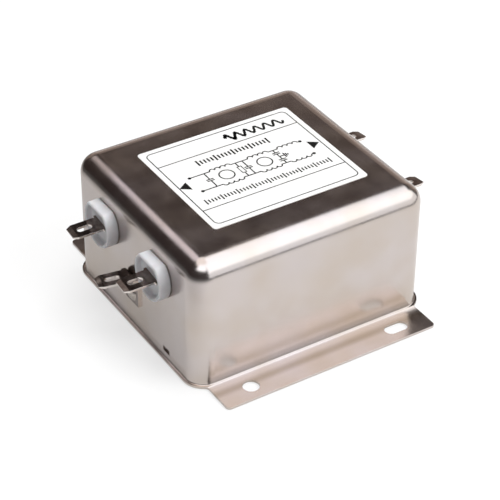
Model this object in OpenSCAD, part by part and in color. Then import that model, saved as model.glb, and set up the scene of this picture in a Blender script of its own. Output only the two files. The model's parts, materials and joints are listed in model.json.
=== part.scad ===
// Chassis-mount EMI line filter in a drawn steel can: four blade terminals in
// insulating bushings, an earth blade riveted to the LINE end, and inside a
// circuit board with two common-mode chokes, X and Y capacitors and a bleeder.
// X runs from the LINE end (-X) to the LOAD end (+X), Z is up, and the origin
// is the centre of the mounting plane.

/* [Can] */
// Length of the can over its end walls
can_length = 84.6; // [80:0.2:110]
// Width of the can over its side walls
can_width = 76.6; // [70:0.2:100]
// Height of the can above the mounting plane
can_height = 45.2; // [44:0.2:60]
// Thickness of the can's sheet steel
sheet = 0.8; // [0.6:0.1:1.2]
// Outer radius of the drawn corners and top edges
corner_radius = 6.5; // [4:0.1:8]
// Radius of the flare that the walls end in above the bend
flare_radius = 5.4; // [4:0.1:7]
// Inside radius of the bend at the can's mouth
mouth_radius = 0.4; // [0.3:0.1:0.5]
// Reach of the trimmed lip beyond the end walls
lip = 1.1; // [1:0.1:1.5]

/* [Mounting flanges] */
// Reach of each flange beyond the side wall
flange_reach = 12.4; // [11:0.1:25]
// Distance of the flange ends inside the end walls
flange_inset = 3.5; // [0.5:0.1:8]
// Distance between holes and slots along the can
hole_pitch = 54.4; // [45:0.2:60]
// Distance of the holes and slots from the side wall
hole_offset = 6.9; // [5.5:0.1:8.4]
// Diameter of the round holes at the LINE end
hole_diameter = 5.4; // [4.2:0.1:6]
// Width of the slots at the LOAD end
slot_width = 4.5; // [4.2:0.1:5.5]
// End-to-end length of the slots
slot_length = 8.2; // [6.5:0.1:10]
// Radius of the flange corners
flange_corner = 1.4; // [0.8:0.1:3]
// Radius of the fillet where a flange end runs into the lip
flange_fillet = 1.5; // [0.8:0.1:2.5]

/* [Bottom cover] */
// Thickness of the cover plate
cover_thickness = 1; // [0.8:0.1:1.5]
// Gap between the cover plate and the can wall
cover_gap = 0.15; // [0.1:0.05:0.3]
// Distance of each retaining lance from the middle of its end wall
lance_offset = 19.8; // [15:0.2:24]
// Width of each lance
lance_width = 3.8; // [3:0.1:5]
// Height of the opening that each lance leaves
lance_height = 1.8; // [1.4:0.1:2.2]
// Height of the lances above the mounting plane
lance_level = 2.6; // [2.4:0.1:3.5]

/* [Terminals] */
// Distance of each terminal from the middle of its end wall
terminal_offset = 16.2; // [13:0.2:20]
// Height of the terminals above the mounting plane
terminal_height = 30.8; // [29:0.2:33]
// Radius of a bushing's collar
collar_radius = 7.8; // [7:0.1:8.5]
// Height of the collar's flat above the bushing's axis
collar_flat = 6.3; // [5.9:0.1:6.8]
// Reach of the collar beyond the end wall
collar_reach = 4.15; // [3.5:0.05:6]
// Gap behind the collar, round the seat that it stands on
collar_gap = 0.25; // [0.1:0.05:0.4]
// Depth of the recess in the collar
recess_depth = 2; // [1.2:0.1:2.4]
// Wall of the collar round its recess
collar_wall = 1.2; // [0.8:0.1:1.4]
// Radius of the neck that passes through the end wall
neck_radius = 6; // [5:0.1:6.3]
// Width of a blade
blade_width = 6.3; // [4.8:0.1:6.3]
// Thickness of a blade
blade_thickness = 0.8; // [0.5:0.1:0.8]
// Reach of a blade beyond the end wall
blade_reach = 13.3; // [12:0.1:16]
// Turn of a blade about its own axis, clockwise seen from outside
blade_turn = 7; // [0:1:10]
// Length of the blade's oblong eye
eye_length = 5.2; // [3:0.1:6]
// Width of the blade's oblong eye
eye_width = 2; // [1.4:0.1:2.4]

/* [Earth terminal] */
// Height of the earth blade above the mounting plane
earth_height = 20.4; // [19.5:0.1:21.5]
// Sideways set of the earth blade towards the back
earth_set = 9; // [0:1:12]
// Width of the earth terminal's foot
foot_width = 7.8; // [7:0.1:9]
// Height of the foot's lower edge above the mounting plane
foot_level = 10; // [9:0.1:11]
// Height of the earth rivet above the mounting plane
rivet_level = 13.4; // [12.8:0.1:14]
// Diameter of the earth rivet's shank
rivet_diameter = 3; // [2.4:0.1:3.2]

/* [Label] */
// Length of the label
label_length = 56.3; // [45:0.1:62]
// Width of the label
label_width = 47.8; // [40:0.1:54]
// Thickness of the label
label_thickness = 0.12; // [0.08:0.02:0.2]
// Shift of the label towards the LOAD end
label_shift_x = 1.7; // [-2:0.1:2]
// Shift of the label towards the back
label_shift_y = 1; // [-2:0.1:2]

/* [Chokes] */
// Outer radius of a choke core
core_outer = 13.5; // [11:0.1:13.5]
// Inner radius of a choke core
core_inner = 8.5; // [8:0.1:9]
// Height of a choke core
core_height = 12; // [10:0.5:12.5]
// Diameter of the winding wire
wire_diameter = 1.5; // [1:0.1:1.5]
// Turns in each winding
turns = 13; // [8:1:14]

/* [Board and its parts] */
// Thickness of the circuit board
board_thickness = 1.6; // [1.2:0.1:1.6]
// Height of the spacers under the board
spacer_height = 5; // [4.5:0.1:5.5]
// Length of an X capacitor
x_cap_length = 26; // [22:0.5:27]
// Thickness of an X capacitor
x_cap_thickness = 10; // [8:0.5:11]
// Height of an X capacitor
x_cap_height = 18; // [15:0.5:18]
// Diameter of a Y capacitor
y_cap_diameter = 9; // [7:0.5:11]
// Diameter of the leads and pins
pin_diameter = 1; // [0.8:0.1:1.2]

/* [Hidden] */
$fn = 64;
line_end = -1;
load_end = 1;
ends = [line_end, load_end];
front = -1;
back = 1;
rows = [front, back];
sides = [-1, 1];
cut = 1;                                   // how far a cutter runs past what it cuts
fit = 0.1;                                 // clearance of pins, shanks and necks in their holes
steel = "#b4aca6";
tinned = "#8f8780";
copper = "#b5713a";

upright = [1, 0];                          // cosine and sine of the sheet's lean in its bends
flare_lean = [0.96, 0.28];
flat = [0, 1];
flare_top = sheet + mouth_radius + (flare_radius - mouth_radius) * flare_lean.y;
bend_reach = flare_radius - (flare_radius - mouth_radius) * flare_lean.x;   // wall to flat rim
inner_radius = corner_radius - sheet;
inner_length = can_length - 2 * sheet;
inner_width = can_width - 2 * sheet;
lip_radius = corner_radius + lip;
flange_length = can_length - 2 * flange_inset;
flange_span = can_width + 2 * flange_reach;
holes_y = can_width / 2 + hole_offset;

recess_flat = collar_flat - collar_wall;
recess_radius = collar_radius - collar_wall;
recess_floor = collar_reach - recess_depth;
seat_inset = 0.6;                          // of the collar's seat inside its outline
neck_flat_depth = 1;                       // how much the flat takes off the neck
neck_flat = neck_radius - neck_flat_depth;
barb_reach = 0.6;                          // how far a bushing's barbs grip behind the wall
barb_length = 1.8;
barb_taper = 1;                            // how far inside the neck the barbs end
tip_width = 0.85;                          // taken off each side of a blade's tip
tip_length = 1.7;                          // of the tip's chamfers and bevels
tip_bevel = 0.2;                           // off each face of the tip
tip_to_eye = 2.6;
shoulder_step = 0.75;                      // of a blade's shoulders, and of its tail, on each side
shoulder_width = blade_width + 2 * shoulder_step;
shoulder_length = 0.9;
tail_width = blade_width - 2 * shoulder_step;
tail_depth = 8.5;                          // reach of a blade's tail behind the end wall
tail_hole = 1.6;                           // diameter of the wire hole in the tail
earth_bend = 0.6;                          // inside radius of the earth terminal's bend
earth_shortfall = 1;                       // the earth blade ends this far inside the others
rivet_head = rivet_diameter * 0.9;         // radius of the rivet's two heads
rivet_dome = 1.1;
rivet_clench = 0.8;
lug_thickness = 0.8;
lug_radius = rivet_diameter;
lug_tail = 1.5 * rivet_diameter;           // rise from the rivet to the earth wire

cover_level = lance_level;
sheet_level = cover_level + cover_thickness;
insulator = 0.3;                           // thickness of the insulating sheet
insulator_gap = 1;                         // between its edge and the can
spacer_level = sheet_level + insulator;
board_level = spacer_level + spacer_height;
board_top = board_level + board_thickness;
board_gap = 2.6;                           // between the board's edge and the can
board_corner = 2;
board_length = inner_length - 2 * board_gap;
board_width = inner_width - 2 * board_gap;
spacer_inset = 4;
spacer_x = board_length / 2 - spacer_inset;
spacer_y = board_width / 2 - spacer_inset;
spacer_radius = 3;
peg_radius = 1.5;
peg_rise = 1;                              // of a spacer's peg above the board

core_chamfer = 0.6;
winding_gap = 0.25;                        // between a core and its winding
winding_angle = 150;                       // arc of the core that each winding covers
turn_pitch = winding_angle / turns;
turn_share = 0.8;                          // part of its pitch that a turn fills
winding_outer = core_outer + winding_gap + wire_diameter;
winding_height = core_height + 2 * (winding_gap + wire_diameter);
choke_spacing = 4;                         // between the two chokes
choke_x = winding_outer + choke_spacing / 2;
base_height = 2;
divider = 1.2;                             // thickness of the wall between the two windings
choke_level = board_top + base_height + winding_height / 2;

x_cap_edge = 2.2;                          // from an X capacitor to the board's edge
x_cap_corner = 1;
x_cap_pin_inset = 2;                       // from an X capacitor's end to its pin
x_cap_pitch = x_cap_length - 2 * x_cap_pin_inset;
x_cap_y = board_width / 2 - x_cap_thickness / 2 - x_cap_edge;
x_cap_centres = [[line_end * choke_x, x_cap_y], [load_end * choke_x, -x_cap_y]];
y_cap_thickness = 3.6;
y_cap_pitch = 5;
y_cap_standoff = 2;
y_cap_gap = 3;                             // between the two Y capacitors
y_cap_inset = 15.6;                        // from the board's LOAD edge to the outer one
y_cap_x = board_length / 2 - y_cap_inset;
y_cap_centres = [[y_cap_x, x_cap_y], [y_cap_x - y_cap_diameter - y_cap_gap, x_cap_y]];
resistor_length = 11;
resistor_radius = 1.9;
resistor_pitch = 16;
resistor_standoff = 1;
resistor_centre = [line_end * choke_x, -x_cap_y];

lead_diameter = 1.5;
lead_bend = 2;                             // radius of the bend at the top of a lead
lead_hook = 1.5;                           // straight end past that bend
lead_x = can_length / 2 - tail_depth + 1;
earth_wire_reach = 4.5;
earth_wire_x = can_length / 2 - sheet - lug_thickness / 2 - earth_wire_reach;

// ---- shared shapes ----

// A box with rounded upright edges, standing on its base
module rounded_prism(length, width, height, radius) {
    translate([-length / 2 + radius, -width / 2, 0]) cube([length - 2 * radius, width, height]);
    translate([-length / 2, -width / 2 + radius, 0]) cube([length, width - 2 * radius, height]);
    for (x = [-1, 1], y = [-1, 1])
        translate([x * (length / 2 - radius), y * (width / 2 - radius), 0])
            cylinder(r = radius, h = height);
}

// The same box with its top edges rounded too, as a drawing punch leaves it
module drawn_block(length, width, height, radius) {
    shoulder = height - radius;
    rounded_prism(length, width, shoulder, radius);
    translate([-length / 2 + radius, -width / 2 + radius, 0])
        cube([length - 2 * radius, width - 2 * radius, height]);
    for (y = [-1, 1])
        translate([-length / 2 + radius, y * (width / 2 - radius), shoulder])
            rotate([0, 90, 0]) cylinder(r = radius, h = length - 2 * radius);
    for (x = [-1, 1])
        translate([x * (length / 2 - radius), width / 2 - radius, shoulder])
            rotate([90, 0, 0]) cylinder(r = radius, h = width - 2 * radius);
    for (x = [-1, 1], y = [-1, 1])
        translate([x * (length / 2 - radius), y * (width / 2 - radius), shoulder])
            sphere(r = radius);
}

// Sweeps a profile round a rounded rectangle: its X points outwards, its Y up
module swept_round(length, width, radius) {
    for (turn = [0, 180]) rotate(turn) {
        translate([-length / 2 + radius, width / 2, 0])
            rotate([90, 0, 90]) linear_extrude(length - 2 * radius) children();
        translate([length / 2, width / 2 - radius, 0])
            rotate([90, 0, 0]) linear_extrude(width - 2 * radius) children();
    }
    corners = [[1, 1], [-1, 1], [-1, -1], [1, -1]];
    for (i = [0:3])
        translate([corners[i].x * (length / 2 - radius), corners[i].y * (width / 2 - radius), 0])
            rotate(90 * i) rotate_extrude(angle = 90) translate([radius, 0]) children();
}

// A slot with round ends, lying along X
module slot(length, width, height) {
    reach = (length - width) / 2;
    translate([-reach, -width / 2, 0]) cube([2 * reach, width, height]);
    for (x = [-reach, reach]) translate([x, 0, 0]) cylinder(d = width, h = height);
}

// A disc with one flat on its +Y side
module flatted_disc(radius, flat, height) {
    intersection() {
        cylinder(r = radius, h = height);
        translate([-radius - cut, -radius - cut, 0])
            cube([2 * (radius + cut), radius + cut + flat, height]);
    }
}

// Puts what is drawn at the origin on an end wall: Z outwards, Y up
module on_end_wall(end, offset, level) {
    translate([end * can_length / 2, offset, level]) rotate([90, 0, end * 90]) children();
}

module at_terminal(end, row) {
    on_end_wall(end, row * terminal_offset, terminal_height) children();
}

// ---- can and cover ----

// Fills the corner between a flange end and the lip, tangent to both
module flange_fillets() {
    corner = [can_length / 2 - corner_radius, can_width / 2 - corner_radius];
    axis_x = flange_length / 2 + flange_fillet;
    foot = [min(corner.x, axis_x), corner.y];
    axis = [axis_x, foot.y + sqrt((lip_radius + flange_fillet) ^ 2 - (axis_x - foot.x) ^ 2)];
    for (x = sides, y = sides) mirror([x < 0 ? 1 : 0, 0, 0]) mirror([0, y < 0 ? 1 : 0, 0])
        linear_extrude(sheet) difference() {
            polygon([foot, axis, axis - [flange_fillet + cut, 0]]);
            translate(axis) circle(r = flange_fillet);
        }
}

// The flanges and the trimmed lip, as one flat plate
module rim_plate() {
    rounded_prism(can_length + 2 * lip, can_width + 2 * lip, sheet, lip_radius);
    rounded_prism(flange_length, flange_span, sheet, flange_corner);
    flange_fillets();
}

// A stretch of the sheet bent about a centre outside the can, from one lean to another
module bent_sheet(centre, radius, from, to) {
    outer = 2 * (radius + sheet);
    translate(centre) intersection() {
        difference() {
            circle(r = radius + sheet);
            circle(r = radius);
        }
        polygon([[0, 0], -outer * from, -outer * to]);
    }
}

// The flare and the bend that join the walls to the rim
module mouth_bend() {
    swept_round(can_length, can_width, corner_radius) {
        bent_sheet([flare_radius, flare_top], flare_radius, upright, flare_lean);
        bent_sheet([bend_reach, sheet + mouth_radius], mouth_radius, flare_lean, flat);
    }
}

module flange_holes() {
    for (row = rows) {
        translate([line_end * hole_pitch / 2, row * holes_y, -cut])
            cylinder(d = hole_diameter, h = sheet + 2 * cut);
        translate([load_end * hole_pitch / 2, row * holes_y, -cut])
            slot(slot_length, slot_width, sheet + 2 * cut);
    }
}

module lance_openings() {
    for (end = ends, row = rows)
        on_end_wall(end, row * lance_offset, lance_level)
            translate([-lance_width / 2, 0, -sheet - cut])
                cube([lance_width, lance_height, sheet + 2 * cut]);
}

// The tongues bent in under the cover plate
module lance_tongues() {
    for (end = ends, row = rows)
        on_end_wall(end, row * lance_offset, lance_level - sheet)
            translate([-lance_width / 2, 0, -sheet - lance_height])
                cube([lance_width, sheet, lance_height + sheet / 2]);
}

module can() {
    color(steel) {
        difference() {
            union() {
                translate([0, 0, flare_top])
                    drawn_block(can_length, can_width, can_height - flare_top, corner_radius);
                mouth_bend();
            }
            translate([0, 0, flare_top])
                drawn_block(inner_length, inner_width, can_height - sheet - flare_top, inner_radius);
            for (end = ends, row = rows)
                at_terminal(end, row) translate([0, 0, -sheet - cut])
                    flatted_disc(neck_radius + fit, neck_flat + fit, sheet + 2 * cut);
            on_end_wall(line_end, 0, rivet_level) translate([0, 0, -sheet - cut])
                cylinder(d = rivet_diameter + 2 * fit, h = sheet + 2 * cut);
            lance_openings();
        }
        difference() {
            rim_plate();
            translate([0, 0, -cut])
                rounded_prism(can_length + 2 * bend_reach, can_width + 2 * bend_reach,
                    sheet + 2 * cut, corner_radius + bend_reach);
            flange_holes();
        }
        lance_tongues();
    }
}

module label() {
    color("#f2f1ee") translate([label_shift_x, label_shift_y, can_height])
        translate([-label_length / 2, -label_width / 2, 0])
        cube([label_length, label_width, label_thickness]);
}

// ---- terminals ----

module bushing() {
    barb_span = neck_radius + barb_reach;
    neck_reach = sheet + barb_length;
    color("#d8d8d6") difference() {
        union() {
            translate([0, 0, collar_gap])
                flatted_disc(collar_radius, collar_flat, collar_reach - collar_gap);
            flatted_disc(collar_radius - seat_inset, collar_flat - seat_inset, recess_floor);
            translate([0, 0, -neck_reach]) flatted_disc(neck_radius, neck_flat, neck_reach);
            // barbs that snap behind the end wall
            translate([0, blade_width / 2, -sheet - fit]) rotate([90, 0, 0])
                linear_extrude(blade_width)
                    polygon([[-barb_span, 0], [barb_span, 0], [neck_radius - barb_taper, -barb_length],
                        [barb_taper - neck_radius, -barb_length]]);
        }
        translate([0, 0, recess_floor])
            flatted_disc(recess_radius, recess_flat, recess_depth + cut);
        rotate(-blade_turn)
            translate([-tail_width / 2 - fit, -blade_thickness / 2 - fit / 2, -neck_reach - cut])
                cube([tail_width + 2 * fit, blade_thickness + fit, recess_floor + neck_reach + 2 * cut]);
    }
}

// The blade's outline from its shoulder to its tip, with the eye left out
module blade_outline(reach) {
    half = blade_width / 2;
    difference() {
        polygon([[-half, 0], [half, 0], [half, reach - tip_length],
            [half - tip_width, reach], [tip_width - half, reach],
            [-half, reach - tip_length]]);
        eye_half = (eye_length - eye_width) / 2;
        translate([0, reach - tip_to_eye - eye_length / 2]) {
            square([eye_width, 2 * eye_half], center = true);
            for (y = [-1, 1]) translate([0, y * eye_half]) circle(d = eye_width);
        }
    }
}

// A blade that lies along Y with its tip bevelled on both faces
module blade(reach) {
    half = blade_thickness / 2;
    intersection() {
        translate([0, 0, -half]) linear_extrude(blade_thickness) blade_outline(reach);
        translate([-blade_width, 0, 0]) rotate([90, 0, 90]) linear_extrude(2 * blade_width)
            polygon([[0, -half], [0, half], [reach - tip_length, half],
                [reach, half - tip_bevel], [reach, tip_bevel - half], [reach - tip_length, -half]]);
    }
}

module tab() {
    color(tinned) rotate(-blade_turn) {
        translate([0, 0, recess_floor]) rotate([90, 0, 0]) blade(blade_reach - recess_floor);
        // shoulders that seat on the recess floor
        translate([-shoulder_width / 2, -blade_thickness / 2, recess_floor])
            cube([shoulder_width, blade_thickness, shoulder_length]);
        difference() {
            translate([-tail_width / 2, -blade_thickness / 2, -tail_depth])
                cube([tail_width, blade_thickness, tail_depth + recess_floor]);
            translate([0, 0, tail_hole - tail_depth]) rotate([90, 0, 0])
                cylinder(d = tail_hole, h = blade_thickness + cut, center = true);
        }
    }
}

module ground_terminal() {
    half = blade_thickness / 2;
    outer = earth_bend + blade_thickness;
    bend_axis = earth_height - half - earth_bend;   // height of the bend's axis
    color(tinned) {
        difference() {
            on_end_wall(line_end, 0, foot_level) translate([-foot_width / 2, 0, 0])
                cube([foot_width, bend_axis - foot_level, blade_thickness]);
            on_end_wall(line_end, 0, rivet_level) translate([0, 0, -cut])
                cylinder(d = rivet_diameter + 2 * fit, h = blade_thickness + 2 * cut);
        }
        // the bend from the foot into the blade
        on_end_wall(line_end, 0, bend_axis) translate([-foot_width / 2, 0, outer])
            rotate([0, 90, 0]) linear_extrude(foot_width) intersection() {
                difference() {
                    circle(r = outer);
                    circle(r = earth_bend);
                }
                square(outer);
            }
        on_end_wall(line_end, 0, earth_height) translate([0, 0, outer]) {
            translate([-foot_width / 2, -half, 0]) cube([foot_width, blade_thickness, shoulder_length]);
            rotate([0, -earth_set, 0]) rotate([90, 0, 0])
                blade(blade_reach - outer - earth_shortfall);
        }
    }
}

module ground_rivet() {
    inner_reach = sheet + lug_thickness;
    sphere_radius = (rivet_head ^ 2 + rivet_dome ^ 2) / (2 * rivet_dome);
    color(tinned) on_end_wall(line_end, 0, rivet_level) {
        translate([0, 0, blade_thickness]) intersection() {
            translate([0, 0, rivet_dome - sphere_radius]) sphere(r = sphere_radius);
            cylinder(r = rivet_head, h = rivet_dome);
        }
        translate([0, 0, -inner_reach]) cylinder(d = rivet_diameter, h = blade_thickness + inner_reach);
        translate([0, 0, -inner_reach - rivet_clench]) cylinder(r = rivet_head, h = rivet_clench);
    }
}

// ---- bottom and board ----

module cover_plate() {
    color(steel) translate([0, 0, cover_level])
        rounded_prism(inner_length - 2 * cover_gap, inner_width - 2 * cover_gap,
            cover_thickness, inner_radius - cover_gap);
}

module insulating_sheet() {
    color("#c8b98a") translate([0, 0, sheet_level])
        rounded_prism(inner_length - 2 * insulator_gap, inner_width - 2 * insulator_gap,
            insulator, inner_radius - insulator_gap);
}

module board_spacers() {
    color("#e4e0d4") for (x = sides, y = sides)
        translate([x * spacer_x, y * spacer_y, spacer_level]) {
            cylinder(r = spacer_radius, h = spacer_height);
            cylinder(r = peg_radius, h = spacer_height + board_thickness + peg_rise);
        }
}

// Where one winding's two ends go down into the board
function winding_ends(end, row) = [for (x = sides)
    let (angle = 90 - (winding_angle - turn_pitch) / 2, radius = winding_outer - wire_diameter / 2)
    [end * choke_x + x * radius * cos(angle), row * radius * sin(angle)]];

// Holes for each winding end, capacitor pin and resistor lead
function pin_holes() = concat(
    [for (end = ends, row = rows, place = winding_ends(end, row)) place],
    [for (c = x_cap_centres, x = sides) c + [x * x_cap_pitch / 2, 0]],
    [for (c = y_cap_centres, x = sides) c + [x * y_cap_pitch / 2, 0]],
    [for (x = sides) resistor_centre + [x * resistor_pitch / 2, 0]]);

module board_holes(places, diameter) {
    for (place = places) translate([place.x, place.y, board_level - cut])
        cylinder(d = diameter + 2 * fit, h = board_thickness + 2 * cut);
}

module circuit_board() {
    color("#6b5a2e") difference() {
        translate([0, 0, board_level])
            rounded_prism(board_length, board_width, board_thickness, board_corner);
        board_holes(pin_holes(), pin_diameter);
        board_holes([for (x = sides, y = sides) [x * spacer_x, y * spacer_y]], 2 * peg_radius);
        board_holes([for (x = sides, y = sides) [x * lead_x, y * terminal_offset]], lead_diameter);
        board_holes([[line_end * earth_wire_x, 0]], lead_diameter);
    }
}

// ---- leads ----

// A wire from the board to the underside of a blade's tail, bent outwards at its top
module terminal_lead(end, row) {
    radius = lead_diameter / 2;
    tail_drop = tan(blade_turn) * radius + blade_thickness / 2;
    top = terminal_height - tail_drop - radius;
    color(copper) translate([end * lead_x, row * terminal_offset, 0]) rotate(end > 0 ? 0 : 180) {
        translate([0, 0, board_level]) cylinder(r = radius, h = top - lead_bend - board_level);
        translate([lead_bend, 0, top - lead_bend]) rotate([90, 0, 180])
            rotate_extrude(angle = 90) translate([lead_bend, 0]) circle(r = radius);
        translate([lead_bend, 0, top]) rotate([0, 90, 0]) cylinder(r = radius, h = lead_hook);
    }
}

// A ring lug under the earth rivet, with its wire bent down to the board
module ground_lead() {
    radius = lead_diameter / 2;
    lug_level = rivet_level + lug_tail;
    color(copper) {
        on_end_wall(line_end, 0, rivet_level) translate([0, 0, -sheet - lug_thickness]) difference() {
            union() {
                cylinder(r = lug_radius, h = lug_thickness);
                translate([-radius, 0, 0]) cube([lead_diameter, lug_tail + radius, lug_thickness]);
            }
            translate([0, 0, -cut]) cylinder(d = rivet_diameter + 2 * fit, h = lug_thickness + 2 * cut);
        }
        translate([line_end * (earth_wire_x + earth_wire_reach), 0, lug_level])
            rotate([0, 90, 0]) cylinder(r = radius, h = earth_wire_reach);
        translate([line_end * earth_wire_x, 0, board_level]) {
            cylinder(r = radius, h = lug_level - board_level);
            translate([0, 0, lug_level - board_level]) sphere(r = radius);
        }
    }
}

// ---- components ----

// A pin that stands up from the underside of the board
module board_pin(place, top) {
    translate([place.x, place.y, board_level]) cylinder(d = pin_diameter, h = top - board_level);
}

// A round tray with the wall that parts the two windings
module choke_base(end) {
    reach = core_inner - winding_gap;
    color("#2f2f31") translate([end * choke_x, 0, board_top]) {
        cylinder(r = core_outer, h = base_height);
        translate([-reach, -divider / 2, base_height]) cube([2 * reach, divider, winding_height]);
    }
}

module choke_core(end) {
    width = core_outer - core_inner;
    color("#3b3b3d") translate([end * choke_x, 0, choke_level - core_height / 2])
        rotate_extrude() translate([core_inner, 0]) difference() {
            square([width, core_height]);
            for (x = [0, width], y = [0, core_height])
                translate([x, y]) rotate(45) square(core_chamfer * sqrt(2), center = true);
        }
}

// A stretch of ring round the core's middle line, standing proud of the core by thickness
module core_ring(thickness, angle) {
    width = core_outer - core_inner + 2 * thickness;
    height = core_height + 2 * thickness;
    rotate_extrude(angle = angle) translate([core_inner - thickness, -height / 2])
        square([width, height]);
}

// One winding: its turns stand proud of a thinner layer that joins them
module choke_winding(end, row) {
    start = row * 90 - winding_angle / 2;
    rib = turn_share * turn_pitch;
    color(copper) {
        translate([end * choke_x, 0, choke_level]) difference() {
            union() {
                rotate(start) core_ring(winding_gap + wire_diameter / 2, winding_angle);
                for (i = [0:turns - 1]) rotate(start + turn_pitch * (i + 0.5) - rib / 2)
                    core_ring(winding_gap + wire_diameter, rib);
            }
            core_ring(winding_gap, 360);
        }
        for (place = winding_ends(end, row)) board_pin(place, choke_level - core_height / 2);
    }
}

module x_capacitor(centre) {
    color("#c9a227") {
        translate([centre.x, centre.y, board_top])
            rounded_prism(x_cap_length, x_cap_thickness, x_cap_height, x_cap_corner);
        for (x = sides) board_pin(centre + [x * x_cap_pitch / 2, 0], board_top + cut);
    }
}

module y_capacitor(centre) {
    radius = y_cap_diameter / 2;
    level = board_top + y_cap_standoff + radius;
    color("#3f6fae") {
        translate([centre.x, centre.y + y_cap_thickness / 2, level])
            rotate([90, 0, 0]) cylinder(r = radius, h = y_cap_thickness);
        for (x = sides) board_pin(centre + [x * y_cap_pitch / 2, 0], level);
    }
}

// An axial resistor with its leads bent down into the board
module bleed_resistor() {
    level = board_top + resistor_radius + resistor_standoff;
    color("#b98d5a") {
        translate([resistor_centre.x, resistor_centre.y, level]) rotate([0, 90, 0]) {
            cylinder(r = resistor_radius, h = resistor_length, center = true);
            cylinder(d = pin_diameter, h = resistor_pitch, center = true);
        }
        for (x = sides) {
            place = resistor_centre + [x * resistor_pitch / 2, 0];
            board_pin(place, level);
            translate([place.x, place.y, level]) sphere(d = pin_diameter);
        }
    }
}

can();
cover_plate();
insulating_sheet();
board_spacers();
circuit_board();
label();
at_terminal(line_end, front) bushing();  // line_bushing_front
at_terminal(line_end, back) bushing();  // line_bushing_back
at_terminal(load_end, front) bushing();  // load_bushing_front
at_terminal(load_end, back) bushing();  // load_bushing_back
at_terminal(line_end, front) tab();  // line_tab_front
at_terminal(line_end, back) tab();  // line_tab_back
at_terminal(load_end, front) tab();  // load_tab_front
at_terminal(load_end, back) tab();  // load_tab_back
ground_terminal();
ground_rivet();
ground_lead();
choke_base(line_end);  // line_choke_base
choke_core(line_end);  // line_choke_core
choke_winding(line_end, front);  // line_choke_winding_front
choke_winding(line_end, back);  // line_choke_winding_back
choke_base(load_end);  // load_choke_base
choke_core(load_end);  // load_choke_core
choke_winding(load_end, front);  // load_choke_winding_front
choke_winding(load_end, back);  // load_choke_winding_back
x_capacitor(x_cap_centres[0]);  // line_x_capacitor
x_capacitor(x_cap_centres[1]);  // load_x_capacitor
y_capacitor(y_cap_centres[0]);  // front_y_capacitor
y_capacitor(y_cap_centres[1]);  // back_y_capacitor
bleed_resistor();
terminal_lead(line_end, front);  // line_lead_front
terminal_lead(line_end, back);  // line_lead_back
terminal_lead(load_end, front);  // load_lead_front
terminal_lead(load_end, back);  // load_lead_back
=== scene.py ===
import json
import math

import bmesh
import bpy
from mathutils import Matrix, Vector


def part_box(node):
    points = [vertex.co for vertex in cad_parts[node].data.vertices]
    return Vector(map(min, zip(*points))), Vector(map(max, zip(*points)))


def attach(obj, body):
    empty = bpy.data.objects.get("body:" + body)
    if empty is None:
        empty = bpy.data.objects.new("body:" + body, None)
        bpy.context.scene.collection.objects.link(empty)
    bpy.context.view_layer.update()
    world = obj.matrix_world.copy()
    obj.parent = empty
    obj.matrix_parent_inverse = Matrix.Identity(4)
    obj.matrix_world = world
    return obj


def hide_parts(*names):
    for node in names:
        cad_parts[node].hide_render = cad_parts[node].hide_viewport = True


mm = 0.001
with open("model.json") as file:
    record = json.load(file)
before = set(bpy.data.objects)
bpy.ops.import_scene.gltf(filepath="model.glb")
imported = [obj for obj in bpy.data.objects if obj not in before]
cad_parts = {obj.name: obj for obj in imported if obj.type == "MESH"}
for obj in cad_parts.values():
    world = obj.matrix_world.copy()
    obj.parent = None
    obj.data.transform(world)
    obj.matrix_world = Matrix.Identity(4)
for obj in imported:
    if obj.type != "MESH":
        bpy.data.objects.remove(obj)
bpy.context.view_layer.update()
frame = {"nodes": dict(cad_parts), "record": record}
nodes = frame["nodes"]


def node(tree, kind, inputs=None, **settings):
    made = tree.nodes.new(kind)
    for name, value in settings.items():
        setattr(made, name, value)
    for name, value in (inputs or {}).items():
        if isinstance(value, bpy.types.NodeSocket):
            tree.links.new(value, made.inputs[name])
        else:
            made.inputs[name].default_value = value
    return made


def linear(hexColour):
    parts = [int(hexColour[i:i + 2], 16) / 255 for i in (1, 3, 5)]
    return [c / 12.92 if c <= 0.04045 else ((c + 0.055) / 1.055) ** 2.4 for c in parts] + [1]


# A material with one Principled shader, and Object coordinates in millimetres.
# Its colour is the plain one that a pattern is then drawn over
def newMaterial(name, colour, **shader):
    material = bpy.data.materials.new(name)
    material.use_nodes = True
    tree = material.node_tree
    tree.nodes.clear()
    sockets = {key.replace("_", " "): value for key, value in shader.items()}
    skin = node(tree, "ShaderNodeBsdfPrincipled", {"Base Color": linear(colour), **sockets})
    node(tree, "ShaderNodeOutputMaterial", {"Surface": skin.outputs["BSDF"]})
    place = node(tree, "ShaderNodeTexCoord").outputs["Object"]
    inMm = node(tree, "ShaderNodeVectorMath", {0: place, 1: (1000, 1000, 1000)}, operation="MULTIPLY")
    return material, tree, skin, inMm.outputs[0]


# How far the noise really swings round its middle
noiseSwing = (0.25, 0.75)


# A noise whose blobs are size mm across, stretched by a factor along each axis, from low to high
def blobs(tree, place, size, low, high, stretch=(1, 1, 1), detail=2.0):
    scaled = node(tree, "ShaderNodeVectorMath", {0: place, 1: [1 / (size * s) for s in stretch]},
                  operation="MULTIPLY")
    noise = node(tree, "ShaderNodeTexNoise",
                 {"Vector": scaled.outputs[0], "Scale": 1.0, "Detail": detail})
    spread = node(tree, "ShaderNodeMapRange",
                  {"Value": noise.outputs["Fac"], "From Min": noiseSwing[0], "From Max": noiseSwing[1],
                   "To Min": low, "To Max": high}, interpolation_type="SMOOTHSTEP")
    return spread.outputs[0]


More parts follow.
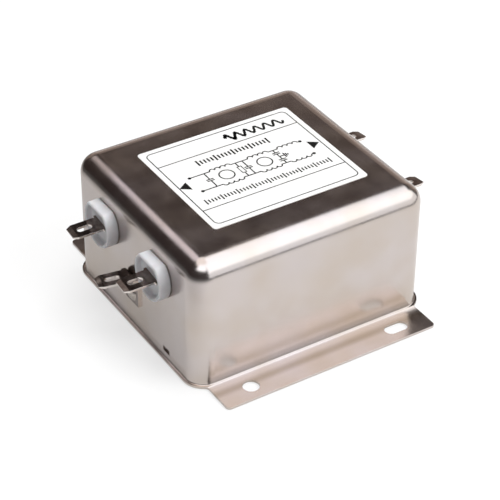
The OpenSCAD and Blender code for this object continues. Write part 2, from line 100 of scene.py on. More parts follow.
# Mottles a base colour with a second one, roughens it and dents it: what every finish here shares
def dress(tree, skin, share, colours, rough, height=None):
    mottled = node(tree, "ShaderNodeMix",
                   {"Factor": share, "A": linear(colours[0]), "B": linear(colours[1])}, data_type="RGBA")
    tree.links.new(mottled.outputs["Result"], skin.inputs["Base Color"])
    tree.links.new(rough, skin.inputs["Roughness"])
    if height:
        bump = node(tree, "ShaderNodeBump", {"Height": height, "Distance": mm, "Strength": 1.0})
        tree.links.new(bump.outputs[0], skin.inputs["Normal"])


drawnNickel = {
    "plate": "#cfc6c3",                       # nickel over steel: a warm grey mirror, a little softened
    "tarnish": "#c2b29c", "tarnishMm": 16, "tarnishShare": 0.4,
    "roughness": (0.2, 0.27), "roughMm": 9,
    "waveMm": 24, "waveDepth": 0.028,         # the drawn walls are never quite flat
    "streakMm": 0.5, "streakDepth": 0.0016,   # marks that the die draws down the walls
    "streakStretch": (1, 1, 40),
    "grainMm": 0.4, "grainDepth": 0.003,      # plated grain, drawn coarser than it is
    "sideWall": 38.9,                         # mm from the middle, where the flanges begin
    "dishes": ((0.35, 0.9), (0.5, 2.4)),      # rise and fade of the flanges into their bends, mm
    "paintedFlangeShade": "#8f7e68", "paintedFlangeShadeShare": 0.5,   # painted shade: a darker band along each flange, where its reflection dims
    "paintedFlangeShadeAt": 4.6, "paintedFlangeShadeWidth": 2.6,
}


# How far a point lies outside the side wall, in mm, and 0 over the can
def pastSideWall(tree, place):
    across = node(tree, "ShaderNodeSeparateXYZ", {0: place}).outputs["Y"]
    distance = node(tree, "ShaderNodeMath", {0: across}, operation="ABSOLUTE").outputs[0]
    past = node(tree, "ShaderNodeMath", {0: distance, 1: drawnNickel["sideWall"]},
                operation="SUBTRACT").outputs[0]
    return node(tree, "ShaderNodeMath", {0: past, 1: 0.0}, operation="MAXIMUM").outputs[0]


# Bright nickel plate on drawn steel: soft mirror, faint draw marks, patches of tarnish, and a band of
# painted shade along each flange
def nickelPlate():
    look = drawnNickel
    material, tree, skin, place = newMaterial("nickelPlatedDrawnSteel", look["plate"], Metallic=1.0)
    past = pastSideWall(tree, place)
    patches = blobs(tree, place, look["tarnishMm"], 0, look["tarnishShare"])
    streaks = blobs(tree, place, look["streakMm"], 0, look["streakDepth"], look["streakStretch"])
    grain = blobs(tree, place, look["grainMm"], 0, look["grainDepth"], detail=1)
    rough = blobs(tree, place, look["roughMm"], *look["roughness"])
    height = blobs(tree, place, look["waveMm"], 0, look["waveDepth"], detail=0)
    for relief in (streaks, grain):
        height = node(tree, "ShaderNodeMath", {0: height, 1: relief}, operation="ADD").outputs[0]
    for rise, fade in look["dishes"]:
        decay = node(tree, "ShaderNodeMath", {0: past, 1: -1 / fade}, operation="MULTIPLY").outputs[0]
        fall = node(tree, "ShaderNodeMath", {0: decay}, operation="EXPONENT").outputs[0]
        height = node(tree, "ShaderNodeMath", {0: fall, 1: rise, 2: height},
                      operation="MULTIPLY_ADD").outputs[0]
    dress(tree, skin, patches, (look["plate"], look["tarnish"]), rough, height)
    # Painted shade: the plate darkens in a band along each flange, a few mm out from the wall, where the
    # flange's reflection dims
    offset = node(tree, "ShaderNodeMath", {0: past, 1: look["paintedFlangeShadeAt"]},
                  operation="SUBTRACT").outputs[0]
    away = node(tree, "ShaderNodeMath", {0: offset}, operation="ABSOLUTE").outputs[0]
    share = node(tree, "ShaderNodeMapRange",
                 {"Value": away, "From Min": look["paintedFlangeShadeWidth"], "From Max": 0.0,
                  "To Min": 0.0, "To Max": look["paintedFlangeShadeShare"]}, interpolation_type="SMOOTHSTEP")
    unshadedPlate = skin.inputs["Base Color"].links[0].from_socket
    paintedFlangeShade = node(tree, "ShaderNodeMix",
                   {"Factor": share.outputs[0], "A": unshadedPlate, "B": linear(look["paintedFlangeShade"])},
                   data_type="RGBA")
    tree.links.new(paintedFlangeShade.outputs["Result"], skin.inputs["Base Color"])
    return material


stampedTin = {
    "plate": "#e1d8d1",
    # The second colour is painted shade, put on the broad faces in place of their dark reflection
    "sheared": "#e4dcd6", "paintedFaceShade": "#6a5d57",
    "facing": (0.64, 0.96),                   # from a sheared edge to a rolled face, as a squared cosine
    "shadeMm": 3, "shadeRange": (0.72, 1),
    "roughMm": 1.5, "roughness": (0.12, 0.2),
    "scuffMm": 0.25, "scuffDepth": 0.0012, "scuffStretch": (12, 1, 1),
}


# Tin plate on stamped brass: its sheared edges are bright, and its broad rolled faces carry painted
# shade, an uneven dark brown in place of the dark surroundings they reflect
def tinPlate(name, rolledWays):
    look = stampedTin
    material, tree, skin, place = newMaterial(name, look["plate"], Metallic=1.0)
    facing = node(tree, "ShaderNodeTexCoord").outputs["Normal"]
    squared = node(tree, "ShaderNodeVectorMath", {0: facing, 1: facing}, operation="MULTIPLY")
    flat = node(tree, "ShaderNodeVectorMath", {0: squared.outputs[0], 1: rolledWays},
                operation="DOT_PRODUCT")
    # Painted shade on the faces that look the rolled ways, made uneven by random patches
    paintedFaceShade = node(tree, "ShaderNodeMapRange",
                  {"Value": flat.outputs["Value"], "From Min": look["facing"][0],
                   "From Max": look["facing"][1]}, interpolation_type="SMOOTHSTEP").outputs[0]
    unevenShade = blobs(tree, place, look["shadeMm"], *look["shadeRange"], detail=3)
    paintedShadeShare = node(tree, "ShaderNodeMath", {0: paintedFaceShade, 1: unevenShade}, operation="MULTIPLY").outputs[0]
    scuffs = blobs(tree, place, look["scuffMm"], 0, look["scuffDepth"], look["scuffStretch"])
    rough = blobs(tree, place, look["roughMm"], *look["roughness"], detail=4)
    dress(tree, skin, paintedShadeShare, (look["sheared"], look["paintedFaceShade"]), rough, scuffs)
    return material


bushingNylon = {
    "plain": "#d6d6da", "white": "#d9d9dd", "shade": "#cbcacb",
    "patchMm": 3.5, "patchShare": 0.5,
    "sparkMm": 0.18, "sparkDepth": 0.004,
    "roughMm": 1.2, "roughness": (0.38, 0.5),
}


# Moulded polyamide: cool white with a fine spark-eroded texture and a soft glow
def mouldedNylon():
    look = bushingNylon
    material, tree, skin, place = newMaterial("mouldedPolyamide", look["plain"], IOR=1.53,
                                              Subsurface_Weight=0.08, Subsurface_Scale=0.001)
    patches = blobs(tree, place, look["patchMm"], 0, look["patchShare"], detail=3)
    texture = blobs(tree, place, look["sparkMm"], 0, look["sparkDepth"])
    rough = blobs(tree, place, look["roughMm"], *look["roughness"])
    dress(tree, skin, patches, (look["white"], look["shade"]), rough, texture)
    return material


filmStock = {
    "plain": "#f7f7f5", "white": "#f2f2f1", "shade": "#ecebe8",
    "patchMm": 9, "patchShare": 0.5,
    "rippleMm": 5, "rippleDepth": 0.01,
    "roughMm": 2, "roughness": (0.3, 0.38),
}


# White polyester label stock: smooth top coat over a barely uneven adhesive
def labelFilm():
    look = filmStock
    material, tree, skin, place = newMaterial("whitePolyesterFilm", look["plain"], IOR=1.5)
    patches = blobs(tree, place, look["patchMm"], 0, look["patchShare"])
    ripple = blobs(tree, place, look["rippleMm"], 0, look["rippleDepth"], detail=1)
    rough = blobs(tree, place, look["roughMm"], *look["roughness"])
    dress(tree, skin, patches, (look["white"], look["shade"]), rough, ripple)
    return material


ribbonInk = {
    "plain": "#0b0a0b", "black": "#080808", "thin": "#242323",
    "pinholeMm": 0.12, "pinholeShare": 0.5,
    "roughMm": 0.4, "roughness": (0.45, 0.6),
}


# Thermal-transfer ink: matt, with pinholes where the ribbon missed
def printInk():
    look = ribbonInk
    material, tree, skin, place = newMaterial("thermalTransferInk", look["plain"], IOR=1.5,
                                              Specular_IOR_Level=0.15)
    missed = blobs(tree, place, look["pinholeMm"], 0, look["pinholeShare"])
    rough = blobs(tree, place, look["roughMm"], *look["roughness"])
    dress(tree, skin, missed, (look["black"], look["thin"]), rough)
    return material


insideLook = {
    "grainMm": 0.4,
    "patchGrains": 6, "patchShare": 0.6,      # patches this many grains across
    "roughGrains": 3, "roughSpread": 0.12,
}


# A plain moulded, lacquered or enamelled finish for what is closed up inside
def innerFinish(name, colour, shade, roughness, metallic=0.0, depth=0.006):
    look, grain = insideLook, insideLook["grainMm"]
    material, tree, skin, place = newMaterial(name, colour, Metallic=metallic)
    patches = blobs(tree, place, grain * look["patchGrains"], 0, look["patchShare"], detail=3)
    rough = blobs(tree, place, grain * look["roughGrains"], roughness, roughness + look["roughSpread"])
    dress(tree, skin, patches, (colour, shade), rough, blobs(tree, place, grain, 0, depth))
    return material


finishes = {
    "plated_steel": nickelPlate(),
    "plated_rivet": innerFinish("nickelPlatedRivet", "#c4bdb7", "#a0968c", 0.2, metallic=1.0,
                                depth=0.002),
    "tinned_brass": tinPlate("tinPlatedBrass", (0, 0, 1)),
    "bushing_plastic": mouldedNylon(),
    "label_film": labelFilm(),
    "fish_paper": innerFinish("fishPaper", "#a9977a", "#93815f", 0.6),
    "nylon": innerFinish("naturalNylon", "#e6e2d6", "#d8d2c2", 0.4),
    "laminate": innerFinish("phenolicLaminate", "#7a6238", "#66502c", 0.4),
    "black_plastic": innerFinish("glassFilledPolyester", "#2f2f31", "#262628", 0.45),
    "ferrite": innerFinish("coatedFerrite", "#3b3b3d", "#303032", 0.5),
    "copper_wire": innerFinish("enamelledCopper", "#b5713a", "#9c5a2b", 0.22, metallic=1.0, depth=0.001),
    "capacitor_case": innerFinish("capacitorBox", "#c9a227", "#b58f1e", 0.3),
    "capacitor_coating": innerFinish("epoxyDip", "#3f6fae", "#345f98", 0.3),
    "resistor_body": innerFinish("resistorLacquer", "#b98d5a", "#a4794a", 0.3),
}
ink = printInk()
earthLug = tinPlate("tinPlatedEarthLug", (1, 0, 1))     # bent, so rolled faces look two ways
for part in frame["record"]["subparts"]:
    name = part["node"]
    finish = earthLug if name == "ground_terminal" else finishes[part["material_slot"]]
    nodes[name].data.materials.clear()
    nodes[name].data.materials.append(finish)
print("finishes made")


cutEdges = {
    "pieces": ("can", "line_tab_front", "line_tab_back", "load_tab_front", "load_tab_back",
               "ground_terminal"),
    "width": 0.13,         # mm that a cut edge rolls over
    "segments": 2,
    "sharp": 35,           # degrees past which an edge is sharp
    "join": 0.002,         # mm within which loose corners are one
    "level": 0.5,          # degrees within which neighbours are one flat face
}


# Joins the loose triangles and merges the flat ones, then rolls the sharp edges over
def softenEdges(name):
    cad, edges = nodes[name], cutEdges
    cad.modifiers.new("weld", "WELD").merge_threshold = edges["join"] * mm
    flat = cad.modifiers.new("flat", "DECIMATE")
    flat.decimate_type = "DISSOLVE"
    flat.angle_limit = math.radians(edges["level"])
    roll = cad.modifiers.new("roll", "BEVEL")
    roll.width = edges["width"] * mm
    roll.segments = edges["segments"]
    roll.limit_method = "ANGLE"
    roll.angle_limit = math.radians(edges["sharp"])
    roll.harden_normals = True


for name in cutEdges["pieces"]:
    softenEdges(name)
print("edges softened")


def placed(name, mesh, finish, slot, *stoodFor):
    piece = bpy.data.objects.new(name, mesh)
    bpy.context.scene.collection.objects.link(piece)
    piece.data.materials.clear()
    piece.data.materials.append(finish)
    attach(piece, "root")
    if stoodFor:
        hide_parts(*stoodFor)


bushing = {
    "collarRadius": 7.8, "collarFlat": 6.3, "reach": 4.15,
    "wall": 1.2, "recess": 2.0,
    "edge": 0.6,                          # radius of the rim's inner and outer edge
    "floorFillet": 0.5,
    "seatInset": 0.6, "seat": 0.25,       # the collar stands off the wall on a smaller seat
    "backBevel": 0.08,
    "steps": 96, "turns": 5,
}


# A circle cut by one flat at its top
def flattedOutline(radius, flat, steps):
    points = []
    for i in range(steps):
        angle = 2 * math.pi * i / steps
        x, y = radius * math.cos(angle), radius * math.sin(angle)
        points.append((x, min(y, flat)))
    return points


# The collar's section from the wall out, over the rim and into the recess: insets and reaches
def collarSection():
    shape = bushing
    quarter = [math.pi / 2 * i / shape["turns"] for i in range(shape["turns"] + 1)]
    edge, wall, fillet = shape["edge"], shape["wall"], shape["floorFillet"]
    seat, seatInset, bevel = shape["seat"], shape["seatInset"], shape["backBevel"]
    rim, inner = shape["reach"] - edge, wall + fillet
    bed = shape["reach"] - shape["recess"] + fillet
    section = [(seatInset, 0.0), (seatInset, seat), (bevel, seat), (0.0, seat + bevel)]
    section += [(edge - edge * math.cos(a), rim + edge * math.sin(a)) for a in quarter]
    section += [(wall - edge + edge * math.sin(a), rim + edge * math.cos(a)) for a in quarter]
    section += [(inner - fillet * math.cos(a), bed - fillet * math.sin(a)) for a in quarter]
    return section


# Lofts one closed skin through the section and stands it on its end wall
def bushingMesh(name, end, centre):
    shape, steps = bushing, bushing["steps"]
    work = bmesh.new()
    rings = []
    for inset, out in collarSection():
        outline = flattedOutline(shape["collarRadius"] - inset, shape["collarFlat"] - inset, steps)
        rings.append([work.verts.new((x, y, out)) for x, y in outline])
    for low, high in zip(rings, rings[1:]):
        for i in range(steps):
            j = (i + 1) % steps
            work.faces.new((low[i], low[j], high[j], high[i]))
    work.faces.new(list(reversed(rings[0])))
    work.faces.new(rings[-1])
    for face in work.faces:
        face.smooth = len(face.verts) == 4
    mesh = bpy.data.meshes.new(name)
    work.to_mesh(mesh)
    work.free()
    turn = (Matrix.Translation(centre) @ Matrix.Rotation(end * math.pi / 2, 4, "Z")
            @ Matrix.Rotation(math.pi / 2, 4, "X") @ Matrix.Scale(mm, 4))
    mesh.transform(turn)
    return mesh


for row in ("front", "back"):
    for side, end in (("line", -1), ("load", 1)):
        low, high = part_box(f"{side}_bushing_{row}")
        depth = bushing["reach"] * mm
        wallX = low.x + depth if end < 0 else high.x - depth
        centre = Vector((wallX, (low.y + high.y) / 2, high.z - bushing["collarFlat"] * mm))
        mesh = bushingMesh(f"{side}_collar_{row}", end, centre)
        placed(f"{side}_collar_{row}", mesh, finishes["bushing_plastic"], "bushing_plastic",
               f"{side}_bushing_{row}")
print("bushings moulded")


label = {
    "corner": 1.2,
    "frameInset": 1.95, "frameCorner": 1.8,
    "rule": 13.8,         # distance of the two rules from the label's middle
    "line": 0.36, "symbolLine": 0.44, "boldLine": 0.85,
    "ink": 0.015,         # thickness of the print
    "lift": 0.002,        # gap that keeps the print off its film
}


def arc(x, y, radius, start, stop, steps):
    return [(x + radius * math.cos(math.radians(start + (stop - start) * i / steps)),
             y + radius * math.sin(math.radians(start + (stop - start) * i / steps)))
            for i in range(steps + 1)]


def roundedOutline(halfX, halfY, radius, steps=8):
    points = []
    for i, (x, y) in enumerate(((1, 1), (-1, 1), (-1, -1), (1, -1))):
        points += arc(x * (halfX - radius), y * (halfY - radius), radius, 90 * i, 90 * i + 90, steps)
    return points


labelLow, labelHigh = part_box("label")
labelMiddle = (labelLow + labelHigh) / 2
labelHalfX, labelHalfY = (labelHigh.x - labelLow.x) / 2 / mm, (labelHigh.y - labelLow.y) / 2 / mm


# A flat closed shape in the label's own millimetres, standing on its film or forming it
def flatShape(work, outline, low, high):
    base = [work.verts.new((x, y, low)) for x, y in outline]
    top = [work.verts.new((x, y, high)) for x, y in outline]
    work.faces.new(list(reversed(base)))
    work.faces.new(top)
    for i in range(len(outline)):
        j = (i + 1) % len(outline)
        work.faces.new((base[i], base[j], top[j], top[i]))


def finishMesh(work, name, level):
    bmesh.ops.recalc_face_normals(work, faces=work.faces)
    mesh = bpy.data.meshes.new(name)
    work.to_mesh(mesh)
    work.free()
    mesh.transform(Matrix.Translation((labelMiddle.x, labelMiddle.y, level)) @ Matrix.Scale(mm, 4))
    return mesh


film = bmesh.new()
filmOutline = roundedOutline(labelHalfX, labelHalfY, label["corner"])
flatShape(film, filmOutline, 0, (labelHigh.z - labelLow.z) / mm)
placed("label_film", finishMesh(film, "label_film", labelLow.z), finishes["label_film"],
       "label_film", "label")
print("label laid")


# A Geometry Nodes tree with one mesh going in and out, and named inputs
def newTree(name, inputs):
    tree = bpy.data.node_groups.new(name, "GeometryNodeTree")
    for given, kind in (("Geometry", "Geometry"), *inputs):
        tree.interface.new_socket(given, in_out="INPUT", socket_type="NodeSocket" + kind)
    tree.interface.new_socket("Geometry", in_out="OUTPUT", socket_type="NodeSocketGeometry")
    return tree, node(tree, "NodeGroupInput").outputs


def endTree(tree, made, material):
    real = node(tree, "GeometryNodeRealizeInstances", {"Geometry": made})
    inked = node(tree, "GeometryNodeSetMaterial", {"Geometry": real.outputs[0], "Material": material})
    node(tree, "NodeGroupOutput", {"Geometry": inked.outputs[0]})


# Strokes: every run of edges becomes a flat ribbon of ink
def strokeTree():
    tree, given = newTree("inkStrokes", (("Line width", "Float"), ("Ink thickness", "Float"),
                                         ("Ink", "Material")))
    curve = node(tree, "GeometryNodeMeshToCurve", {"Mesh": given["Geometry"]})
    upright = node(tree, "GeometryNodeSetCurveNormal", {"Curve": curve.outputs[0]}, mode="Z_UP")
    section = node(tree, "GeometryNodeCurvePrimitiveQuadrilateral",
                   {"Width": given["Line width"], "Height": given["Ink thickness"]})
    ribbon = node(tree, "GeometryNodeCurveToMesh",
                  {"Curve": upright.outputs[0], "Profile Curve": section.outputs[0], "Fill Caps": True})
    flat = node(tree, "GeometryNodeSetShadeSmooth",
                {"Geometry": ribbon.outputs[0], "Shade Smooth": False})
    endTree(tree, flat.outputs[0], given["Ink"])
    return tree


# Runs a node tree over a mesh with these named inputs and returns the plain mesh it makes
def runTree(tree, mesh, name, values):
    carrier = bpy.data.objects.new(name, mesh)
    bpy.context.scene.collection.objects.link(carrier)
    modifier = carrier.modifiers.new(name, "NODES")
    modifier.node_group = tree
    for socket in tree.interface.items_tree:
        if socket.in_out == "INPUT" and socket.name in values:
            modifier[socket.identifier] = values[socket.name]
    graph = bpy.context.evaluated_depsgraph_get()
    made = bpy.data.meshes.new_from_object(carrier.evaluated_get(graph))
    bpy.data.objects.remove(carrier)
    return made


def pathMesh(paths):
    mesh = bpy.data.meshes.new("paths")
    points, edges = [], []
    for path in paths:
        first = len(points)
        points += [(x, y, 0) for x, y in path]
        edges += [(first + i, first + i + 1) for i in range(len(path) - 1)]
        if path[0] == path[-1]:
            points.pop()
            edges[-1] = (edges[-1][0], first)
    mesh.from_pydata(points, edges, [])
    return mesh


schematic = {
    "rail": 4.1,                       # distance of the two rails from the middle line, mm
    "middle": -0.4,
    "ends": (-20.6, 20.6),
    "chokes": (-9.4, 4.6), "ring": 2.5,
    "coils": (15.8,),
    "humps": 4, "humpRadius": 0.95,
    "acrossCapacitors": (-15.4, -1.4),
    "resistor": -3.9, "resistorHalf": (0.7, 1.8),
    "earthCapacitors": 10.2,
    "plate": 1.3, "gap": 0.8,
    "earthStem": 1.9, "earthBars": (1.3, 0.85, 0.4), "earthStep": 0.6,
    "dot": 0.6, "dotSteps": 16,        # where the rails begin and end
}


# A winding on each rail, with the ring of its core between them if it has one
def windingPaths(x, ring):
    s = schematic
    radius, paths = s["humpRadius"], []
    for side in (1, -1):
        for i in range(s["humps"]):
            middle = x - s["humps"] * radius + radius * (2 * i + 1)
            paths.append(arc(middle, side * s["rail"], radius, 180, 180 - 180 * side, 8))
    if ring:
        circle = arc(x, 0, ring, 0, 360, 32)
        paths.append(circle[:-1] + circle[:1])
    return paths


# Two plates across a rail, with a lead from each
def capacitorPaths(x, low, high):
    plate, gap = schematic["plate"], schematic["gap"]
    middle = (low + high) / 2
    return [[(x, low), (x, middle - gap / 2)], [(x, middle + gap / 2), (x, high)],
            [(x - plate, middle - gap / 2), (x + plate, middle - gap / 2)],
            [(x - plate, middle + gap / 2), (x + plate, middle + gap / 2)]]


def schematicPaths():
    s = schematic
    rail, reach = s["rail"], s["humps"] * s["humpRadius"]
    paths = []
    stops = [s["ends"][0]]
    for x, ring in [(x, s["ring"]) for x in s["chokes"]] + [(x, 0) for x in s["coils"]]:
        paths += windingPaths(x, ring)
        stops += [x - reach, x + reach]
    stops.append(s["ends"][1])
    for side in (1, -1):
        for a, b in zip(stops[::2], stops[1::2]):
            paths.append([(a, side * rail), (b, side * rail)])
    for x in s["acrossCapacitors"]:
        paths += capacitorPaths(x, -rail, rail)
    x, (wide, half) = s["resistor"], s["resistorHalf"]
    paths += [[(x, -rail), (x, -half)], [(x, half), (x, rail)],
              [(x - wide, -half), (x + wide, -half), (x + wide, half), (x - wide, half),
               (x - wide, -half)]]
    x, stem = s["earthCapacitors"], s["earthStem"]
    paths += capacitorPaths(x, 0, rail) + capacitorPaths(x, -rail, 0)
    paths.append([(x, 0), (x + stem, 0)])
    for i, half in enumerate(s["earthBars"]):
        bar = x + stem + s["earthStep"] * i
        paths.append([(bar, -half), (bar, half)])
    return [[(px, py + s["middle"]) for px, py in path] for path in paths]


wave = {
    "ends": (1.0, 22.8), "level": 17.5, "height": 1.5, "waves": 6, "steps": 240,
    "ripple": 0.55, "ripplesInWave": 7.3,
    "calming": 1.6,       # how fast the ripple fades: at 1 it would last the whole way
}


# A rough wave that runs smooth: what the filter does, in place of a title
def wavePath():
    (start, stop), waves = wave["ends"], wave["waves"]
    points = []
    for i in range(wave["steps"] + 1):
        t = i / wave["steps"]
        rough = max(0.0, 1 - wave["calming"] * t)
        ripple = math.sin(2 * math.pi * waves * wave["ripplesInWave"] * t)
        value = math.sin(2 * math.pi * waves * t) + wave["ripple"] * rough * ripple
        points.append((start + (stop - start) * t, wave["level"] + wave["height"] * value))
    return points


frameOutline = roundedOutline(labelHalfX - label["frameInset"], labelHalfY - label["frameInset"],
                              label["frameCorner"])
ruleReach = labelHalfX - label["frameInset"]
finePaths = [frameOutline + frameOutline[:1]]
finePaths += [[(-ruleReach, y), (ruleReach, y)] for y in (label["rule"], -label["rule"])]
strokes = strokeTree()
printed = bmesh.new()
for name, paths, width in (("fine", finePaths, "line"), ("symbols", schematicPaths(), "symbolLine"),
                           ("bold", [wavePath()], "boldLine")):
    made = runTree(strokes, pathMesh(paths), name,
                   {"Line width": label[width], "Ink thickness": label["ink"], "Ink": ink})
    printed.from_mesh(made)


# Ticks in a row, each on its own point: a plain graduated scale
def tickTree():
    sizes = ("Start", "Level", "Pitch", "Tick width", "Long tick", "Short tick", "Ink thickness")
    tree, given = newTree("tickRow", (("Count", "Int"), *((size, "Float") for size in sizes),
                                      ("Ink", "Material")))
    start = node(tree, "ShaderNodeCombineXYZ", {"X": given["Start"], "Y": given["Level"]})
    step = node(tree, "ShaderNodeCombineXYZ", {"X": given["Pitch"]})
    line = node(tree, "GeometryNodeMeshLine",
                {"Count": given["Count"], "Start Location": start.outputs[0], "Offset": step.outputs[0]})
    index = node(tree, "GeometryNodeInputIndex").outputs[0]
    fifth = node(tree, "ShaderNodeMath", {0: index, 1: 5.0}, operation="MODULO")     # every fifth is long
    isLong = node(tree, "ShaderNodeMath", {0: fifth.outputs[0], 1: 0.5}, operation="LESS_THAN")
    tall = node(tree, "ShaderNodeMix", {"Factor": isLong.outputs[0], "A": given["Short tick"],
                                        "B": given["Long tick"]}, data_type="FLOAT")
    bar = node(tree, "GeometryNodeMeshCube")
    size = node(tree, "ShaderNodeCombineXYZ", {"X": given["Tick width"], "Y": tall.outputs["Result"],
                                               "Z": given["Ink thickness"]})
    ticks = node(tree, "GeometryNodeInstanceOnPoints", {"Points": line.outputs[0],
                                                        "Instance": bar.outputs["Mesh"],
                                                        "Scale": size.outputs[0]})
    endTree(tree, ticks.outputs[0], given["Ink"])
    return tree


tickRows = [
    {"Count": 21, "Start": -14.0, "Level": 9.7, "Pitch": 1.3, "Tick width": 0.62,
     "Long tick": 3.2, "Short tick": 2.1},
    {"Count": 41, "Start": -22.8, "Level": -10.2, "Pitch": 1.14, "Tick width": 0.5,
     "Long tick": 2.8, "Short tick": 1.7},
]
ticks = tickTree()
for row in tickRows:
    made = runTree(ticks, bpy.data.meshes.new("ticks"), "ticks",
                   {**row, "Ink thickness": label["ink"], "Ink": ink})
    printed.from_mesh(made)

arrows = {
    "points": ((-1, -24.6), (1, 24.0)),   # which way each looks, and its place along the label
    "level": 0.2, "tip": 1.6, "tail": 1.8, "half": 2.3,
}
half = label["ink"] / 2
for side, x in arrows["points"]:
    tip, tail, level = x + side * arrows["tip"], x - side * arrows["tail"], arrows["level"]
    wing = side * arrows["half"]
    flatShape(printed, [(tip, level), (tail, level + wing), (tail, level - wing)], -half, half)
dotSteps = schematic["dotSteps"]
for x in schematic["ends"]:
    for y in (-schematic["rail"], schematic["rail"]):
        dot = arc(x, y + schematic["middle"], schematic["dot"], 0, 360 - 360 / dotSteps, dotSteps - 1)
        flatShape(printed, dot, -half, half)
printLevel = labelHigh.z + (half + label["lift"]) * mm
placed("label_print", finishMesh(printed, "label_print", printLevel), ink, "label_film")
print("label printed")


studio = {
    "floor": "#ffffff", "bounce": "#c4c2c0", "floorHalf": 6, "floorLevel": -0.0002,   # m
    "acrossFloor": (0.54, -0.84, 0), "acrossReach": (-90.0, 60.0),
    "farMirror": 0.66, "nearMirror": 0.9,
    "litMiddle": (120, 0, 0), "litReach": (200, 330),   # mm, over which its reflection falls off
    # painted shade: how bright the paper stays in reflections beyond the lit reach
    "farPaintedShade": 0.11,
    "seenGlow": 0.6, "mirroredGlow": 0.45,
    "worldGlow": 0.4,
    "lampAim": (0, 0, 0.02),
}


def stageObject(name, mesh, material):
    piece = bpy.data.objects.new(name, mesh)
    bpy.context.scene.collection.objects.link(piece)
    piece.data.materials.append(material)
    return piece


# White paper: seen as white, and duller in what it bounces; what reflections see of it is painted light,
# brightest on the lamps' side, with painted shade on the far side and far off
def floorMaterial():
    look = studio
    material, tree, skin, place = newMaterial("paperSweep", look["floor"], Roughness=0.9)
    rays = node(tree, "ShaderNodeLightPath").outputs
    mirrored = rays["Is Glossy Ray"]
    seen = node(tree, "ShaderNodeMath", {0: rays["Is Camera Ray"], 1: rays["Is Transmission Ray"]},
                operation="MAXIMUM").outputs[0]
    straight = node(tree, "ShaderNodeMath", {0: seen, 1: mirrored}, operation="MAXIMUM").outputs[0]
    across = node(tree, "ShaderNodeVectorMath", {0: place, 1: look["acrossFloor"]},
                  operation="DOT_PRODUCT").outputs["Value"]
    side = node(tree, "ShaderNodeMapRange",
                {"Value": across, "From Min": look["acrossReach"][0], "From Max": look["acrossReach"][1],
                 "To Min": look["farMirror"], "To Max": look["nearMirror"]},
                interpolation_type="SMOOTHSTEP").outputs[0]
    offset = node(tree, "ShaderNodeVectorMath", {0: place, 1: look["litMiddle"]},
                  operation="SUBTRACT").outputs[0]
    reach = node(tree, "ShaderNodeVectorMath", {0: offset}, operation="LENGTH").outputs["Value"]
    lit = node(tree, "ShaderNodeMapRange",
               {"Value": reach, "From Min": look["litReach"][0], "From Max": look["litReach"][1],
                "To Min": 1.0, "To Max": look["farPaintedShade"]}).outputs[0]
    grey = node(tree, "ShaderNodeMath", {0: side, 1: lit}, operation="MULTIPLY").outputs[0]
    mirroredTint = node(tree, "ShaderNodeCombineColor",
                        {"Red": grey, "Green": grey, "Blue": grey}).outputs[0]
    tint = node(tree, "ShaderNodeMix",
                {"Factor": mirrored, "A": linear(look["floor"]), "B": mirroredTint},
                data_type="RGBA").outputs["Result"]
    paper = node(tree, "ShaderNodeMix", {"Factor": straight, "A": linear(look["bounce"]), "B": tint},
                 data_type="RGBA").outputs["Result"]
    tree.links.new(paper, skin.inputs["Base Color"])
    glow = node(tree, "ShaderNodeEmission", {"Color": tint, "Strength": 1.0}).outputs[0]
    cameraShare = node(tree, "ShaderNodeMath", {0: seen, 1: look["seenGlow"]},
                       operation="MULTIPLY").outputs[0]
    mirrorShare = node(tree, "ShaderNodeMath", {0: mirrored, 1: look["mirroredGlow"]},
                       operation="MULTIPLY").outputs[0]
    share = node(tree, "ShaderNodeMath", {0: cameraShare, 1: mirrorShare}, operation="ADD").outputs[0]
    both = node(tree, "ShaderNodeMixShader", {0: share, 1: skin.outputs[0], 2: glow})
    out = next(n for n in tree.nodes if n.type == "OUTPUT_MATERIAL")
    tree.links.new(both.outputs[0], out.inputs["Surface"])
    return material


def glowMaterial(name, colour, strength):
    material = bpy.data.materials.new(name)
    material.use_nodes = True
    tree = material.node_tree
    tree.nodes.clear()
    glow = node(tree, "ShaderNodeEmission", {"Color": linear(colour), "Strength": strength})
    node(tree, "ShaderNodeOutputMaterial", {"Surface": glow.outputs[0]})
    return material


floor = bmesh.new()
bmesh.ops.create_grid(floor, x_segments=1, y_segments=1, size=studio["floorHalf"])
floorMesh = bpy.data.meshes.new("floor")
floor.to_mesh(floorMesh)
floorMesh.transform(Matrix.Translation((0, 0, studio["floorLevel"])))
stageObject("floor", floorMesh, floorMaterial())


# A patch of a sphere round the object, between two azimuths and two elevations in degrees
def spherePatch(name, radius, azimuths, elevations, steps=24):
    mesh = bpy.data.meshes.new(name)
    points, faces = [], []
    for i in range(steps + 1):
        for j in range(steps + 1):
            a = math.radians(azimuths[0] + (azimuths[1] - azimuths[0]) * i / steps)
            e = math.radians(elevations[0] + (elevations[1] - elevations[0]) * j / steps)
            points.append((radius * math.sin(a) * math.cos(e), radius * math.cos(a) * math.cos(e),
                           radius * math.sin(e)))
    for i in range(steps):
        for j in range(steps):
            k = i * (steps + 1) + j
            faces.append((k, k + 1, k + steps + 2, k + steps + 1))
    mesh.from_pydata(points, [], faces)
    return mesh


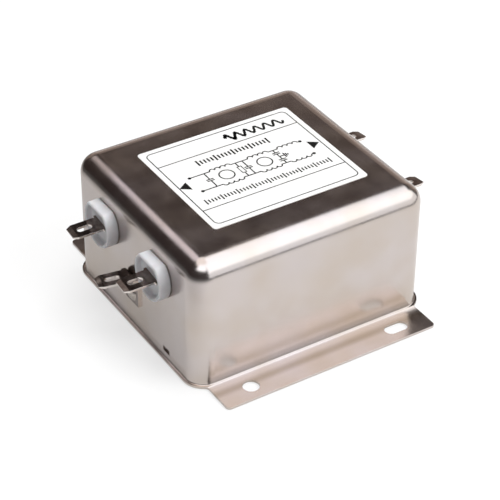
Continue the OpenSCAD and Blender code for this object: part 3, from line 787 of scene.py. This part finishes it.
# Cards that only reflections see: name, radius in m, azimuths, elevations, colour and strength.
# Azimuth 0 is straight behind, positive to the right
cards = [
    ("tent", 1.6, (-180, 180), (0, 90), "#372f2e", 1.0),
    ("lowTent", 1.55, (-10, 85), (0, 30), "#9a8d86", 1.0),
    ("overheadBox", 1.5, (-180, 180), (57, 90), "#fff9f6", 1.35),
    ("highFront", 1.4, (52, 262), (57, 74), "#f4f8ff", 1.95),
    ("rightStrip", 1.4, (48, 98), (51, 57), "#f4f8ff", 1.75),
    ("frontBox", 1.4, (98, 183), (26, 57), "#f8fbff", 1.95),
    ("frontFall", 1.4, (98, 183), (1, 26), "#f8fbff", 1.2),
    ("cornerBox", 1.39, (189, 262), (41, 60), "#f8fbff", 2.1),
    ("backStrip", 1.45, (-32, 4), (40, 57), "#fbf4fa", 1.1),
    ("backGlow", 1.4, (10, 75), (0, 11), "#fff4f0", 0.8),
]
for name, radius, azimuths, elevations, colour, strength in cards:
    patch = spherePatch(name, radius, azimuths, elevations)
    card = stageObject(name, patch, glowMaterial(name, colour, strength))
    for ray in ("camera", "diffuse", "shadow", "transmission", "volume_scatter"):
        setattr(card, "visible_" + ray, False)

world = bpy.data.worlds.new("studioWorld")
bpy.context.scene.world = world
world.use_nodes = True
tree = world.node_tree
tree.nodes.clear()
rays = node(tree, "ShaderNodeLightPath").outputs
seen = rays["Is Camera Ray"]
for ray in ("Is Glossy Ray", "Is Transmission Ray"):
    seen = node(tree, "ShaderNodeMath", {0: seen, 1: rays[ray]}, operation="MAXIMUM").outputs[0]
soft = node(tree, "ShaderNodeBackground", {"Color": (1, 1, 1, 1), "Strength": studio["worldGlow"]})
white = node(tree, "ShaderNodeBackground", {"Color": (1, 1, 1, 1), "Strength": 1.0})
both = node(tree, "ShaderNodeMixShader", {0: seen, 1: soft.outputs[0], 2: white.outputs[0]})
node(tree, "ShaderNodeOutputWorld", {"Surface": both.outputs[0]})


# A soft square lamp that lights without being mirrored
def areaLamp(name, place, side, power):
    lamp = bpy.data.lights.new(name, "AREA")
    lamp.shape = "RECTANGLE"
    lamp.size = lamp.size_y = side
    lamp.energy = power
    piece = bpy.data.objects.new(name, lamp)
    bpy.context.scene.collection.objects.link(piece)
    piece.location = place
    piece.rotation_mode = "QUATERNION"
    aim = Vector(studio["lampAim"]) - Vector(place)
    piece.rotation_quaternion = aim.to_track_quat("-Z", "Y")
    piece.visible_glossy = False


# name, place and side in m, watts
for lamp in (("keyLamp", (0.55, -0.8, 0.9), 0.7, 7), ("topLamp", (0.1, 0.1, 1.3), 0.9, 11.5)):
    areaLamp(*lamp)

view = {
    "lens": 129.84, "sensor": 36.0,
    "azimuth": -32.51, "elevation": 35.99, "roll": 0.57,
    "distance": 0.602,
    "target": (0.007964, 0.011357, 0.003521),
}
azimuth, elevation = math.radians(view["azimuth"]), math.radians(view["elevation"])
back = Vector((math.sin(azimuth) * math.cos(elevation), -math.cos(azimuth) * math.cos(elevation),
               math.sin(elevation)))
right = Vector((0, 0, 1)).cross(back).normalized()
up = back.cross(right)
roll = math.radians(view["roll"])
rolledRight = right * math.cos(roll) + up * math.sin(roll)
rolledUp = up * math.cos(roll) - right * math.sin(roll)
lens = bpy.data.cameras.new("camera")
lens.lens, lens.sensor_width = view["lens"], view["sensor"]
camera = bpy.data.objects.new("camera", lens)
bpy.context.scene.collection.objects.link(camera)
turn = Matrix((rolledRight, rolledUp, back)).transposed().to_4x4()
camera.matrix_world = Matrix.Translation(Vector(view["target"]) + back * view["distance"]) @ turn
bpy.context.scene.camera = camera
bpy.context.scene.view_settings.view_transform = "Standard"
print("studio lit")
